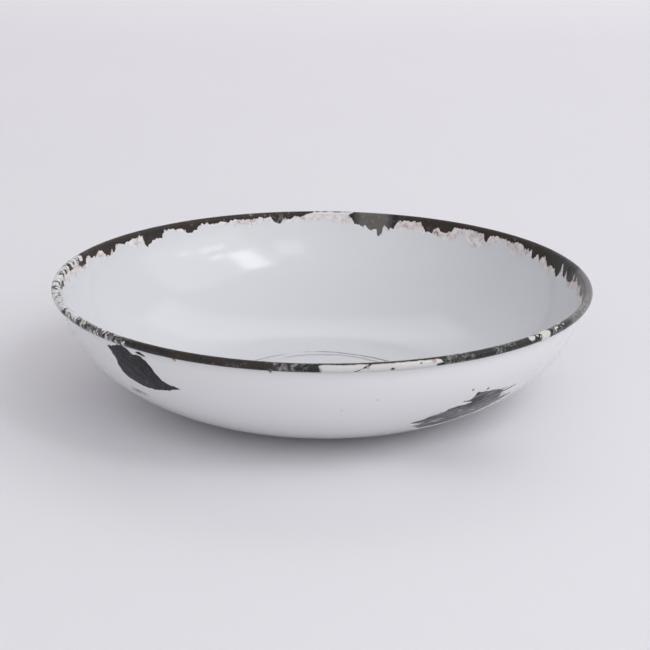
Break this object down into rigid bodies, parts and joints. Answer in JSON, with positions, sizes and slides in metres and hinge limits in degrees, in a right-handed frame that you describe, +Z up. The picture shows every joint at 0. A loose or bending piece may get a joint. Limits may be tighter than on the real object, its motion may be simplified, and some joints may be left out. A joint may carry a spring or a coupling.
{
  "type": "developing tray",
  "caption": "Round open dish with a flat base, curved wall and curled rim, for rocking prints or plates in liquid.",
  "frame": {"origin": "centre of the flat base, on its lower face", "axes": "+Z up through the open mouth, -Y towards the front, where the white is left on the rim; +X to the right seen from the front"},
  "size_m": [0.3403, 0.3406, 0.0763],
  "materials": {
    "sheet_steel": "dull, dark and rusted where the enamel is off",
    "ground_enamel_inside": "dark brown-black vitreous ground coat, rough and rust stained",
    "ground_enamel_outside": "blue-black vitreous ground coat, semi-gloss where the white has come off",
    "white_enamel_inside": "glossy white vitreous enamel, worn on the floor",
    "white_enamel_outside": "glossy white vitreous enamel, slightly uneven",
    "white_enamel_rim": "glossy white vitreous enamel, stained along its broken edges"
  },
  "bodies": {
    "root": {"steel_pan": "sheet_steel", "inside_ground_coat": "ground_enamel_inside", "outside_ground_coat": "ground_enamel_outside", "inside_white_coat": "white_enamel_inside", "outside_white_coat": "white_enamel_outside", "rim_white_remains": "white_enamel_rim"}
  },
  "joints": []
}
